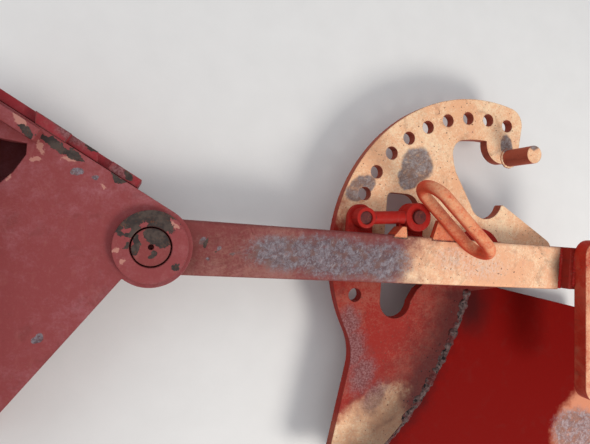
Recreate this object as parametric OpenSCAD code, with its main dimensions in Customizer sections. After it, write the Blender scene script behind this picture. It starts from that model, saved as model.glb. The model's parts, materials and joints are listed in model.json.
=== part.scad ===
// Swing arm of a plough with its furrow press catcher, in millimetres.
// Origin: centre of the four flange bolts, on the flange's back face.
// X runs out along the arm, Z is up, Y completes the right-handed frame.

/* [Mounting flange] */
// Length of the flange along the plough beam
flange_len = 400; // [370:5:440]
// Height of the flange
flange_h = 170; // [150:5:200]
// Thickness of the flange
flange_t = 20; // [12:1:30]
// Diameter of the four bolt holes
flange_hole_d = 22; // [16:1:26]
// Distance of the bolt holes from the flange's ends
flange_edge_y = 30; // [26:1:50]
// Distance of the bolt holes from the flange's long sides
flange_edge_z = 29; // [20:1:32]
// How far the flange stands out past the corners of the cheeks
flange_over = 16; // [14:1:30]

/* [Bracket] */
// Distance from the flange's back face to the hinge pin
hub_reach = 190; // [170:5:240]
// Offset of the hinge pin from the middle of the flange
hub_side = 40; // [20:5:60]
// Thickness of each bracket cheek
cheek_t = 18; // [12:1:24]
// Radius of the cheeks round the hinge pin
nose_r = 44; // [42:1:50]
// Outside diameter of the hub rings
ring_d = 78; // [70:1:84]
// Height of the hub rings
ring_h = 8; // [4:1:12]
// Thickness of the side web and the inner web
web_t = 10; // [6:1:14]
// Gap between the side web and the edges of the cheeks
web_gap = 0.8; // [0.5:0.1:0.9]
// Gap between the hub rings and the inner web
inner_gap = 45; // [36:1:60]
// Length of the side web that is left off beside the hinge
web_start = 46; // [40:1:60]
// How far the side web's top edge lies below the top of the cheek
web_drop = 9.4; // [4:0.2:16]
// Height of the rib on the upper cheek
rib_h = 17; // [10:1:30]
// Thickness of the rib on the upper cheek
rib_t = 13; // [8:1:20]

/* [Hinge pin] */
// Diameter of the hinge pin
pin_d = 40; // [36:1:44]
// Radial play of the hinge pin, the swivel stud and the lock pin
fit_play = 0.05; // [0.02:0.01:0.09]
// Width of the dark groove between the pin and its ring
groove_w = 1.8; // [1:0.1:3]
// Depth of that groove
groove_depth = 5; // [2:0.5:7]
// Diameter of the centre hole in the pin
pin_centre_d = 6; // [4:0.5:10]
// Diameter of the collar under the lower ring
collar_d = 62; // [56:1:70]
// Height of the collar
collar_h = 11; // [8:1:16]

/* [Arm] */
// Width of the arm bar
bar_w = 63; // [56:1:70]
// Thickness of the arm bar
bar_t = 30; // [24:1:36]
// Radius of the bar's long edges
bar_edge_r = 5; // [2:0.5:7]
// Radius of the arm's eye
eye_r = 40; // [38:1:43]
// Gap between the arm's eye and each cheek
eye_gap = 0.4; // [0.3:0.1:1]
// Distance from the hinge pin to the end of the bar
arm_len = 580; // [570:5:640]
// Length of the riser along the arm
riser_len = 24; // [18:1:34]
// Height of the riser above the bar
riser_h = 16; // [12:1:30]
// Depth of the step under the riser, on the side away from the hook
riser_step = 3; // [0:0.5:8]

/* [End strap] */
// Length of the end strap
strap_len = 230; // [200:5:260]
// Width of the end strap
strap_w = 50; // [44:1:60]
// Thickness of the end strap
strap_t = 20; // [10:1:24]
// Turn of the end strap from square
strap_a = 5; // [0:0.5:8]
// Reach of the end strap past the bar's centreline on the hook side
strap_up = 42; // [38:1:50]
// Diameter of the strap's two holes
strap_hole_d = 22; // [16:1:24]
// Distance of each strap hole from its end
strap_hole_in = 36; // [30:1:44]

/* [Loop handle] */
// Diameter of the loop's round bar
loop_bar_d = 16; // [12:1:18]
// Radius of the loop's ends, at the middle of the bar
loop_r = 21; // [18:1:26]
// Straight length of the loop
loop_straight = 82; // [70:2:90]
// Distance from the swivel stud back to the middle of the loop
loop_back = 86; // [80:1:92]
// Offset of the loop's middle from the bar's centreline
loop_y = 55; // [50:1:60]
// Turn of the loop from the arm
loop_a = -40; // [-44:1:-36]
// How far the loop is sunk into its weld on the bar
loop_sink = 1; // [0.5:0.1:2]

/* [Lock] */
// Diameter of the lock pin
lock_d = 17; // [14:0.5:17.4]
// Travel of the lock pin
lock_travel = 12; // [10:0.5:14]
// Gap between the drawn lock pin and the catch plate
lock_clear = 4; // [3:0.5:6]
// Radius of the lock pin's lug
lug_r = 18; // [16:0.5:20]
// Thickness of the lugs
lug_t = 8; // [6:1:12]
// Outside diameter of the lock pin's sleeve
sleeve_d = 27; // [25:0.5:30]
// Height of the sleeve above the lugs
sleeve_h = 17; // [12:1:20]
// Diameter of the keeper post
post_d = 18; // [14:1:22]
// Distance from the swivel stud back to the keeper post
post_back = 120; // [116:1:128]
// Offset of the keeper post from the bar's centreline
post_y = 57; // [52:1:60]
// Height of the keeper post above the lugs
post_h = 21; // [18:1:24]
// Outside radius of the eye round the keeper post
keeper_r = 19; // [15:1:20]
// Diameter of the tie rod
rod_d = 17; // [12:1:18]

/* [Catch plate] */
// Distance from the bar's end back to the swivel stud
pivot_in = 122; // [118:1:126]
// Offset of the swivel stud from the bar's centreline
pivot_y = 10; // [6:1:13]
// Thickness of the catch plate
plate_t = 15; // [10:1:20]
// Gap between the bar and the catch plate
plate_gap = 6; // [5:0.5:8]
// Radius of the row of holes
hole_circle_r = 200; // [198:1:204]
// Diameter of the holes
hole_d = 18; // [17:0.5:21]
// Angle between neighbouring holes
hole_step = 10; // [10:1:12]
// Number of holes
hole_count = 13; // [10:1:13]
// Angle of the first hole from the arm
first_hole_a = 78.3; // [78:0.1:79]
// Which hole lies under the lock pin, counted from the first
lock_hole = 9; // [9:1:9]
// Plate left outside the row of holes
hole_rim = 28; // [22:1:32]
// Plate left inside the row of holes, at the mouth
inner_rim = 31; // [26:1:34]
// Radius of the seat that catches the press's pin
seat_r = 28; // [24:1:30]
// Distance from the swivel stud to the middle of the plate's nose
nose_x = 120; // [112:1:124]
// Radius of the plate's nose
nose_end_r = 20; // [16:1:22]
// Radius of the waist between the row of holes and the tail
waist_r = 75; // [60:5:90]
// Depth of the plate's tail below the swivel stud
tail_depth = 300; // [280:5:305]
// Radius of the window's lower end
window_r = 23.5; // [20:0.5:24]
// Diameter of the hook's peg
peg_d = 25; // [18:1:28]
// Height of the peg above the plate
peg_h = 50; // [30:1:60]

/* [Swivel] */
// Diameter of the swivel stud
stud_d = 30; // [24:1:36]
// Depth of the stud in the bar
stud_depth = 20; // [12:1:24]
// Diameter of the spacer between the bar and the plate
spacer_d = 80; // [60:1:90]
// Running gap at the spacer and under the plate
swivel_gap = 0.3; // [0.2:0.1:0.6]
// Thickness of the washer above the nut
washer_t = 4; // [3:1:6]
// Width of the nut across its corners
nut_d = 54; // [48:1:60]
// Height of the nut
nut_h = 24; // [18:1:30]

/* [Guide sheet] */
// Thickness of the guide sheet
sheet_t = 8; // [5:1:10]
// Width of the guide sheet, outwards from the weld
sheet_w = 345; // [300:5:360]
// Reach of the sheet past the swivel stud, along the arm
sheet_reach = 262; // [240:2:270]
// Depth of the sheet below the swivel stud
sheet_depth = 310; // [306:1:320]
// Radius of the line where the sheet is welded to the catch plate
weld_r = 430; // [390:5:460]
// Width of the sheet's steep inner flank
flank_w = 60; // [50:1:66]
// Bending radius of the flank
flank_r = 90; // [85:1:120]
// Bending radius of the rest of the sheet
sheet_r = 1400; // [1200:50:2000]
// Width of the weld bead
bead_w = 11; // [7:1:13]

/* [Hidden] */
$fn = 64;

bar_top = bar_t / 2;
cheek_in = bar_top + eye_gap;
cheek_out = cheek_in + cheek_t;
ring_out = cheek_out + ring_h;
flange_face = flange_t - hub_reach;
corner_up = flange_len / 2 - hub_side - flange_over;
corner_down = flange_len / 2 + hub_side - flange_over;
upper_edge_a = atan(corner_up / -flange_face) - asin(nose_r / norm([flange_face, corner_up]));
lower_edge_a = atan(corner_down / -flange_face);
web_top = cheek_out - web_drop;

pivot_x = arm_len - pivot_in;
loop_x = pivot_x - loop_back;
post_x = pivot_x - post_back;
plate_top = -bar_top - plate_gap;
plate_low = plate_top - plate_t;
plate_r = hole_circle_r + hole_rim;
mouth_r = hole_circle_r - inner_rim;
lock_a = first_hole_a + lock_hole * hole_step;
lock_x = pivot_x + hole_circle_r * cos(lock_a);
lock_y = pivot_y + hole_circle_r * sin(lock_a);
lug_top = lug_t - bar_top;
sleeve_top = lug_top + sleeve_h;
lock_tip = plate_top + lock_clear;
lock_top = sleeve_top - 2;
riser_top = bar_top + riser_h;
loop_z = bar_top + loop_bar_d / 2 + loop_r - loop_sink;

paint = [0.66, 0.26, 0.20];
deep = [0.45, 0.09, 0.06];
steel = [0.42, 0.40, 0.39];

// Points of an arc about c, from angle a0 to a1
function arc(c, r, a0, a1, n = 16) =
    [for (i = [0:n]) let (a = a0 + (a1 - a0) * i / n) [c[0] + r * cos(a), c[1] + r * sin(a)]];

module at_hub() {
    translate([hub_reach, hub_side, 0]) children();
}

module at_pivot() {
    at_hub() translate([pivot_x, pivot_y, 0]) children();
}

// A plate of thickness t whose underside is at z
module slab(z, t) {
    translate([0, 0, z]) linear_extrude(height = t) children();
}

module drill(x, y, z, d, h) {
    translate([x, y, z]) cylinder(d = d, h = h);
}

// Flange, bolted to the plough's beam

module flange() {
    color(paint) difference() {
        translate([0, -flange_len / 2, -flange_h / 2]) cube([flange_t, flange_len, flange_h]);
        for (y = [-1, 1], z = [-1, 1])
            translate([-1, y * (flange_len / 2 - flange_edge_y), z * (flange_h / 2 - flange_edge_z)])
                rotate([0, 90, 0]) cylinder(d = flange_hole_d, h = flange_t + 2);
    }
}

// Bracket: two cheeks that narrow from the flange to the hinge pin

// The cheeks' upper edge lies nose_r from the pin: its distance up at x
function upper_y(x, off) = (off - x * sin(upper_edge_a)) / cos(upper_edge_a);
function lower_y(x) = x * tan(lower_edge_a);

module cheek_outline() {
    polygon(concat(
        [[flange_face, upper_y(flange_face, nose_r)], [flange_face, lower_y(flange_face)]],
        arc([0, 0], nose_r, 180 + lower_edge_a, 360 + 90 - upper_edge_a, 40)));
}

module pin_bore(z, h) {
    drill(0, 0, z, pin_d + 2 * fit_play, h);
}

// The rough cut in the upper cheek, beside the rib
module cheek_cut() {
    polygon([[flange_face + 8, 100], [-146, 97], [-124, 95], [-124, 84],
        [-134, 66], [-150, 48], [flange_face + 8, 42]]);
}

module upper_cheek() {
    color(paint) at_hub() difference() {
        slab(cheek_in, cheek_t) difference() {
            cheek_outline();
            cheek_cut();
        }
        pin_bore(cheek_in - 1, cheek_t + 2);
    }
}

module lower_cheek() {
    color(paint) at_hub() difference() {
        slab(-cheek_out, cheek_t) cheek_outline();
        pin_bore(-cheek_out - 1, cheek_t + 2);
    }
}

module ring_body(groove) {
    difference() {
        cylinder(d = ring_d, h = ring_h);
        drill(0, 0, -1, pin_d + 2 * fit_play, ring_h + 2);
        if (groove)
            drill(0, 0, ring_h - groove_depth, pin_d + 2 * groove_w, groove_depth + 1);
    }
}

module upper_ring() {
    color(paint) at_hub() translate([0, 0, cheek_out]) ring_body(true);
}

module lower_ring() {
    color(paint) at_hub() translate([0, 0, -ring_out]) ring_body(false);
}

// A strip along the cheeks' upper edge, between two distances from the pin
module edge_strip(off0, off1, x0, x1) {
    polygon([[x0, upper_y(x0, off0)], [x1, upper_y(x1, off0)],
        [x1 + (off1 - off0) * sin(upper_edge_a), upper_y(x1 + (off1 - off0) * sin(upper_edge_a), off1)],
        [x0, upper_y(x0, off1)]]);
}

web_off = nose_r + web_gap;
web_end_x = web_off * sin(upper_edge_a) - web_start * cos(upper_edge_a);

module side_web() {
    color(paint) at_hub() difference() {
        slab(-cheek_out, cheek_out + web_top)
            edge_strip(web_off, web_off + web_t, flange_face, web_end_x);
        slab(web_top - 8, 9) edge_strip(web_off - 1, web_off + web_t + 1, -59, -50);
    }
}

module web_packer() {
    color(paint) at_hub()
        slab(web_top, web_drop + 1) edge_strip(nose_r, web_off + web_t, -118, -90);
}

module inner_web() {
    inset = 6;
    near = ring_d / 2 + inner_gap;
    far = norm([flange_face, corner_down]);
    color(paint) at_hub() difference() {
        rotate([0, 0, 180 + lower_edge_a])
            translate([near, -inset - web_t, -cheek_in]) cube([far - near, web_t, 2 * cheek_in]);
        translate([flange_face - far, -2 * far, -cheek_out]) cube([far, 3 * far, 2 * cheek_out]);
    }
}

module cheek_rib() {
    off = 28;
    color(paint) at_hub()
        slab(cheek_out, rib_h) edge_strip(off, off + rib_t, flange_face, -116);
}

module hinge_pin() {
    end_gap = 0.5;
    color(steel) at_hub() difference() {
        drill(0, 0, -ring_out - collar_h, pin_d, 2 * ring_out + collar_h - end_gap);
        translate([0, 0, ring_out - end_gap - 10]) cylinder(d = pin_centre_d, h = 11);
    }
}

module pin_collar() {
    color(steel) at_hub() difference() {
        drill(0, 0, -ring_out - collar_h, collar_d, collar_h);
        drill(0, 0, -ring_out - collar_h - 1, pin_d, collar_h + 2);
    }
}

// Arm

module bar_section() {
    edge = bar_edge_r;
    square([bar_w - 2 * edge, bar_t], center = true);
    square([bar_w, bar_t - 2 * edge], center = true);
    for (y = [-1, 1], z = [-1, 1])
        translate([y * (bar_w / 2 - edge), z * (bar_top - edge)]) circle(r = edge);
}

module bar_body() {
    rotate([90, 0, 90]) linear_extrude(height = arm_len) bar_section();
}

// A piece that is welded to the bar and fits its rounded edge
module against_bar() {
    difference() {
        children();
        bar_body();
    }
}

module arm_bar() {
    color(paint) at_hub() difference() {
        union() {
            drill(0, 0, -bar_top, 2 * eye_r, bar_t);
            bar_body();
        }
        pin_bore(-bar_top - 1, bar_t + 2);
        drill(pivot_x, pivot_y, -bar_top - 1, stud_d, stud_depth + 1);
    }
}

module end_riser() {
    color(paint) at_hub() translate([arm_len, riser_step - bar_w / 2, -bar_top])
        cube([riser_len, bar_w - riser_step, bar_t + riser_h]);
}

strap_x = arm_len + riser_len / 2 - 4;

module end_strap() {
    corner = 22;
    mid = strap_up - strap_len / 2;
    color(paint) at_hub() translate([strap_x, 0, riser_top]) rotate([0, 0, strap_a])
        difference() {
            linear_extrude(height = strap_t) {
                for (x = [corner, strap_w - corner], y = [strap_up - corner, strap_up - strap_len + corner])
                    translate([x, y]) circle(r = corner);
                translate([0, strap_up - strap_len + corner]) square([strap_w, strap_len - 2 * corner]);
                translate([corner, strap_up - strap_len]) square([strap_w - 2 * corner, strap_len]);
            }
            for (s = [-1, 1])
                drill(strap_w / 2, mid + s * (strap_len / 2 - strap_hole_in), -1, strap_hole_d, strap_t + 2);
        }
}

module loop_ring() {
    half = loop_straight / 2;
    for (s = [-1, 1]) {
        translate([s * half, 0, 0]) rotate([0, 0, s > 0 ? -90 : 90])
            rotate_extrude(angle = 180) translate([loop_r, 0]) circle(d = loop_bar_d, $fn = 32);
        translate([-half, s * loop_r, 0]) rotate([0, 90, 0])
            cylinder(d = loop_bar_d, h = loop_straight, $fn = 32);
    }
}

module loop_handle() {
    reach = loop_straight / 2 + loop_r + loop_bar_d;
    color(paint) at_hub() translate([loop_x, loop_y, loop_z]) difference() {
        rotate([90, 0, loop_a]) loop_ring();
        translate([-reach, -reach, bar_top - loop_z - loop_sink - 1])
            cube([2 * reach, 2 * reach, loop_sink + 1]);
    }
}

// The foot carries the loop where it stands out past the bar
module loop_foot() {
    color(paint) at_hub() against_bar() slab(bar_top - lug_t, lug_t)
        polygon([[loop_x - 15, bar_w / 2 - bar_edge_r], [loop_x + 25, bar_w / 2 - bar_edge_r],
            [loop_x + 2, loop_y], [loop_x - 6, loop_y]]);
}

// A lug that stands out from the bar's side to a round end at [x, y]
module lug_outline(x, y, r) {
    translate([x, y]) circle(r = r);
    translate([x - r, bar_w / 2 - bar_edge_r]) square([2 * r, y - bar_w / 2 + bar_edge_r]);
}

module lock_lug() {
    color(paint) at_hub() against_bar() difference() {
        slab(-bar_top, lug_t) lug_outline(lock_x, lock_y, lug_r);
        drill(lock_x, lock_y, -bar_top - 1, lock_d + 2 * fit_play, lug_t + 2);
    }
}

module lock_sleeve() {
    color(paint) at_hub() difference() {
        drill(lock_x, lock_y, lug_top, sleeve_d, sleeve_h);
        drill(lock_x, lock_y, lug_top - 1, lock_d + 2 * fit_play, sleeve_h + 2);
    }
}

module tie_rod() {
    run = [post_x - lock_x, post_y - lock_y];
    color(deep) at_hub() difference() {
        translate([lock_x, lock_y, lug_top + rod_d / 2]) rotate([0, 90, atan2(run[1], run[0])])
            cylinder(d = rod_d, h = norm(run));
        drill(lock_x, lock_y, lug_top - 1, sleeve_d, rod_d + 2);
        drill(post_x, post_y, lug_top - 1, 2 * keeper_r, rod_d + 2);
    }
}

module keeper_lug() {
    color(paint) at_hub() against_bar()
        slab(-bar_top, lug_t) lug_outline(post_x, post_y, keeper_r);
}

module keeper_post() {
    color(steel) at_hub() drill(post_x, post_y, lug_top, post_d, post_h);
}

module keeper_eye() {
    color(deep) at_hub() difference() {
        drill(post_x, post_y, lug_top, 2 * keeper_r, rod_d);
        drill(post_x, post_y, lug_top - 1, post_d, rod_d + 2);
    }
}

module keeper_gusset() {
    side = bar_w / 2 - bar_edge_r;
    near = post_x - keeper_r;
    color(paint) at_hub() against_bar() slab(lug_top, bar_top - lug_top)
        polygon([[near - 21, side], [near + 2, side], [near - 1, 43], [near - 7, 43]]);
}

// Swivel: the stud under the bar on which the catch plate turns

module swivel_spacer() {
    color(steel) at_pivot() difference() {
        drill(0, 0, plate_top + swivel_gap, spacer_d, plate_gap - swivel_gap);
        drill(0, 0, plate_top, stud_d, plate_gap + 1);
    }
}

stud_low = plate_low - swivel_gap - washer_t - nut_h;

module swivel_stud() {
    color(steel) at_pivot()
        drill(0, 0, stud_low - 3, stud_d, stud_depth - bar_top - stud_low + 3);
}

module swivel_washer() {
    color(steel) at_pivot() difference() {
        drill(0, 0, stud_low + nut_h, nut_d + 6, washer_t);
        drill(0, 0, stud_low + nut_h - 1, stud_d, washer_t + 2);
    }
}

module swivel_nut() {
    color(steel) at_pivot() difference() {
        translate([0, 0, stud_low]) cylinder(d = nut_d, h = nut_h, $fn = 6);
        drill(0, 0, stud_low - 1, stud_d, nut_h + 2);
    }
}

// Lock pin, drawn clear of the plate at rest

module lock_pin() {
    color(steel) at_hub() drill(lock_x, lock_y, lock_tip, lock_d, lock_top - lock_tip);
}

// Catch plate

seat = [12, 82.5];
horn_r = 3.5;
horn_a = -16;
horn = seat + (seat_r + horn_r) * [cos(horn_a), sin(horn_a)];
finger = [34.5, mouth_r - 2];
finger_r = 28.5;
peg = [47, 148];
// The mouth's inner corner lies against the inside of the row of holes
mouth_a = 102;
mouth_corner_r = 20;
mouth_corner = (mouth_r - mouth_corner_r) * [cos(mouth_a), sin(mouth_a)];
corner_r = 26;
corner_a = first_hole_a - 0.3;
corner = [(plate_r - corner_r) * cos(corner_a), (plate_r - corner_r) * sin(corner_a)];
// The weld runs on this circle, and so does the guide sheet: weld_top is its end by the swivel
weld_top = [-10, -53];
weld_a = -12.6;
weld_c = weld_top - weld_r * [cos(weld_a), sin(weld_a)];
tail_a = asin((-tail_depth - weld_c[1]) / weld_r);
under_nose = [nose_x - 70, -45];

module plate_outline() {
    // The tail's straight edge runs on from the end of the waist
    waist_a = 209;
    waist_end = -10;
    waist_c = (plate_r + waist_r) * [cos(waist_a), sin(waist_a)];
    waist_low = waist_c + waist_r * [cos(waist_end), sin(waist_end)];
    cut = 8;
    tail_x = waist_low[0] + (waist_low[1] + tail_depth - cut) * tan(waist_end);
    polygon(concat(
        arc([0, 0], plate_r, corner_a, waist_a, 48),
        arc(waist_c, waist_r, waist_a - 180, waist_end, 10),
        [[tail_x, cut - tail_depth], [tail_x + cut, -tail_depth]],
        arc(weld_c, weld_r, tail_a, weld_a, 16),
        [under_nose],
        arc([nose_x, 13], nose_end_r, -52, 62, 10),
        arc(horn, horn_r, 62, 180 + horn_a, 4),
        arc(seat, seat_r, horn_a - 2, -160, 24),
        [mouth_corner + [-6, -38], mouth_corner + [-12.5, -28], mouth_corner + [-17, -16]],
        arc(mouth_corner, mouth_corner_r, 195, mouth_a, 8),
        arc([0, 0], mouth_r, mouth_a - 2, 88, 8),
        arc(finger, finger_r, 180, 300, 14),
        [[64, 156]],
        arc(corner, corner_r, 0, corner_a, 12)));
}

// The curved window between the row of holes and the swivel
module plate_window() {
    lobe = [72 - hole_circle_r, -70];
    polygon(concat(
        arc(lobe, window_r, 180, 360, 18),
        [[lobe[0] + 33, -53], [lobe[0] + 41, -46]],
        arc([0, 0], -lobe[0] - 30, 208, 152, 10),
        [[lobe[0] + 26, 67]],
        arc([lobe[0] + 7, 59], 20, 30, 90, 5),
        arc([lobe[0] - window_r + 7, 72], 7, 90, 180, 5)));
}

module catch_plate() {
    color(paint) at_pivot() difference() {
        slab(plate_low, plate_t) difference() {
            plate_outline();
            plate_window();
        }
        for (i = [0:hole_count - 1]) {
            a = first_hole_a + i * hole_step;
            drill(hole_circle_r * cos(a), hole_circle_r * sin(a), plate_low - 1, hole_d, plate_t + 2);
        }
        drill(0, 0, plate_low - 1, stud_d + 2 * fit_play, plate_t + 2);
    }
}

module hook_peg() {
    color(paint) at_pivot() drill(peg[0], peg[1], plate_top, peg_d, peg_h);
}

// Guide sheet: a dished sheet turned about the weld's own circle

// Height of the sheet's upper face above its lowest line, u outwards from the weld
function dish(u) = u < flank_w
    ? flank_r - sqrt(pow(flank_r, 2) - pow(flank_w - u, 2))
    : sheet_r - sqrt(pow(sheet_r, 2) - pow(u - flank_w, 2));
dish_low = plate_low - dish(0);
sheet_steps = concat([for (i = [0:6]) flank_w * i / 6],
    [for (i = [1:8]) flank_w + (sheet_w - flank_w) * i / 8]);

module sheet_profile() {
    polygon(concat(
        [for (u = sheet_steps) [weld_r + u, dish_low + dish(u)]],
        [for (i = [len(sheet_steps) - 1:-1:0])
            let (u = sheet_steps[i]) [weld_r + u, dish_low + dish(u) - sheet_t]]));
}

// Seen from above, the sheet's top edge starts beside the bar
module sheet_outline() {
    cut = 14;
    start = under_nose - [0, 1];
    polygon(concat(
        arc(weld_c, weld_r - 1, tail_a, weld_a, 16),
        [start, start + [sheet_reach - 70 - start[0], -24], [sheet_reach - cut, -80],
            [sheet_reach, -80 - 0.7 * cut], [sheet_reach, cut - sheet_depth],
            [sheet_reach - cut, -sheet_depth], [weld_c[0] + weld_r * cos(tail_a), -sheet_depth]]));
}

module guide_sheet() {
    color(deep) at_pivot() intersection() {
        translate([weld_c[0], weld_c[1], 0]) rotate([0, 0, -62])
            rotate_extrude(angle = 62, $fn = 128) sheet_profile();
        slab(dish_low - 2 * sheet_t, 150) sheet_outline();
    }
}

// Seen in section, the bead fills the corner between the plate's edge and the sheet
module weld_bead() {
    low_end = tail_a + 1.4;
    color(steel) at_pivot() translate([weld_c[0], weld_c[1], 0]) rotate([0, 0, low_end])
        rotate_extrude(angle = weld_a - 1 - low_end, $fn = 128)
            polygon([[weld_r, plate_low], [weld_r + flank_w / 6, dish_low + dish(flank_w / 6)],
                [weld_r + bead_w, plate_low + 3], [weld_r + bead_w * 0.6, plate_top - 3],
                [weld_r, plate_top]]);
}

flange();
upper_cheek();
lower_cheek();
upper_ring();
lower_ring();
side_web();
web_packer();
inner_web();
cheek_rib();
hinge_pin();
pin_collar();
arm_bar();
end_riser();
end_strap();
loop_handle();
loop_foot();
lock_lug();
lock_sleeve();
tie_rod();
keeper_lug();
keeper_post();
keeper_eye();
keeper_gusset();
swivel_spacer();
swivel_stud();
swivel_washer();
swivel_nut();
lock_pin();
catch_plate();
hook_peg();
guide_sheet();
weld_bead();
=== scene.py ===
# %% [markdown]
# # Dressing a plough press arm
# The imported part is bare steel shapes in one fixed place. This lesson gives them broken edges,
# welds and a paint that has stood outside for years. Nothing here moves or resizes a solid: every
# new piece takes its place from the solids.

# %% Load the solids
import json
import math

import bmesh
import bpy
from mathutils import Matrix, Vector, noise

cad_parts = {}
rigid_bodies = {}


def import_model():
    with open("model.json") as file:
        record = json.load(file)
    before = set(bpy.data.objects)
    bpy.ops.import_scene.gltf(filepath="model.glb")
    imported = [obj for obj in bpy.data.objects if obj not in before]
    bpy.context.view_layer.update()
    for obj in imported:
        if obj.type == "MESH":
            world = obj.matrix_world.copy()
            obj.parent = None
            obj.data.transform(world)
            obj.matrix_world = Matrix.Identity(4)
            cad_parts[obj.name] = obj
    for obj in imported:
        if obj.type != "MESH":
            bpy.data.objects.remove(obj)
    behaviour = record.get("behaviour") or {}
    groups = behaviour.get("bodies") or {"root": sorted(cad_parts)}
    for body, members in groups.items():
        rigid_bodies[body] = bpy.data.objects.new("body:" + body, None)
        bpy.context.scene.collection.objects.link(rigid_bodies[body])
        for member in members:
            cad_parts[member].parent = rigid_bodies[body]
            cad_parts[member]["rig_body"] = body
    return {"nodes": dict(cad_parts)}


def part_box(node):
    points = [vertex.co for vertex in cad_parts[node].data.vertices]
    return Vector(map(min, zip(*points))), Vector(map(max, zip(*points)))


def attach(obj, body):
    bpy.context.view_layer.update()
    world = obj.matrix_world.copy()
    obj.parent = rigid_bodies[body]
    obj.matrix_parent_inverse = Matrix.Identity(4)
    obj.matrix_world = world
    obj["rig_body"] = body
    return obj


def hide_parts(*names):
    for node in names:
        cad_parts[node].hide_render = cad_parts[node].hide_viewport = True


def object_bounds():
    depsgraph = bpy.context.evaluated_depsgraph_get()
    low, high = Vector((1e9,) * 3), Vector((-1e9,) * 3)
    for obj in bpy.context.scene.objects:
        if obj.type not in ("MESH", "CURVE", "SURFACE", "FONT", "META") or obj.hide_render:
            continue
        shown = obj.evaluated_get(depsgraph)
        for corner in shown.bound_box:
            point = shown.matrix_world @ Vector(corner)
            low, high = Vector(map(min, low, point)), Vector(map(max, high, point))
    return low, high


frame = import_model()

cad_box = [list(corner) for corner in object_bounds()]
print("solids:", len(frame["nodes"]), "box:", cad_box)

# %% [markdown]
# The hinge pin is the natural place to measure from, because it joins the bracket and the arm. The
# part's own origin is on the flange, so `at` turns millimetres from the hinge into the metres that
# Blender works in.

# %% Millimetres from the hinge
HINGE = Vector((0.190, 0.040, 0.0))
PIVOT = (458.0, 10.0)  # the catcher's swivel stud
BAR_TOP = 15.0
PLATE_TOP = -21.0
WELD_CENTRE = (28.4, 50.8)  # of the circle that the long weld follows
WELD_RADIUS = 430.0
SAME_CORNER = 0.00002  # metres: corners this close are one


def at(x, y, z):
    """A place in metres, from millimetres off the hinge axis."""
    return HINGE + Vector((x, y, z)) / 1000


def made(name, shape):
    """An object of the scene from a finished shape."""
    mesh = bpy.data.meshes.new(name)
    shape.to_mesh(mesh)
    shape.free()
    piece = bpy.data.objects.new(name, mesh)
    bpy.context.collection.objects.link(piece)
    return piece


def copied(shape, mesh):
    """Adds another mesh's faces to a shape."""
    corners = [shape.verts.new(vertex.co) for vertex in mesh.vertices]
    for face in mesh.polygons:
        shape.faces.new([corners[index] for index in face.vertices])


def span(node):
    """The box of a solid in millimetres from the hinge: lowest and highest corner."""
    low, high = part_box(node)
    return (low - HINGE) * 1000, (high - HINGE) * 1000


def srgb(red, green, blue):
    """A paint chart's colour, 0 to 255, as the linear values that light uses."""
    parts = [c / 255 for c in (red, green, blue)]
    return (*[c / 12.92 if c < 0.04045 else ((c + 0.055) / 1.055) ** 2.4 for c in parts], 1.0)


for name in ("arm_bar", "end_riser", "end_strap", "lock_lug", "keeper_lug", "cheek_rib"):
    low, high = span(name)
    print(name, [round(v, 1) for v in (*low, *high)])

# %% [markdown]
# The camera stands where the picture was taken: about half a metre above the arm, a little to the
# left, and leaning over. Moving it by eye would never line up the whole row of lock holes, so its
# place was worked out from that row, the bar and the hub.

# %% Camera
lens = bpy.data.cameras.new("photo_camera")
lens.sensor_fit = "HORIZONTAL"
lens.sensor_width = 36
lens.lens = 29.29
camera = bpy.data.objects.new("photo_camera", lens)
camera.location = (0.1743, 0.0717, 0.5642)
camera.rotation_euler = [math.radians(turn) for turn in (-0.735, -18.16, 4.4)]
bpy.context.collection.objects.link(camera)
bpy.context.scene.camera = camera
print("camera at", tuple(round(v, 3) for v in camera.location))

# %% [markdown]
# Two large soft lamps and an even sky keep the light plain, so a colour renders about as it is
# written. The stronger lamp stands to the lower right, where the sun stood.

# %% Light
sky = bpy.data.worlds.new("studio_sky")
sky.use_nodes = True
sky.node_tree.nodes["Background"].inputs["Color"].default_value = srgb(240, 243, 250)
sky.node_tree.nodes["Background"].inputs["Strength"].default_value = 0.62
bpy.context.scene.world = sky
bpy.context.scene.view_settings.view_transform = "Standard"


def lamp(name, place, aim, size, power, tint):
    """A square soft lamp that points at `aim`."""
    light = bpy.data.lights.new(name, "AREA")
    light.size = size
    light.energy = power
    light.color = tint
    stand = bpy.data.objects.new(name, light)
    stand.location = place
    stand.rotation_euler = (Vector(aim) - Vector(place)).to_track_quat("-Z", "Y").to_euler()
    bpy.context.collection.objects.link(stand)
    print(name, power, "W")


lamp("key_lamp", (1.25, -0.75, 1.15), (0.45, 0.0, 0.0), 0.55, 15.0, (1.0, 0.965, 0.92))
lamp("fill_lamp", (-0.7, 0.9, 1.3), (0.4, 0.0, 0.0), 1.2, 6.0, (0.93, 0.96, 1.0))

# %% [markdown]
# A finish is a small program that Blender runs at each point of a surface. Node editors show it as
# boxes and wires, which is slow to read. Here a wire is a Python value: `1 - mask` or `a * b` adds
# the Math node that it says, and `node` adds any other.

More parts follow.
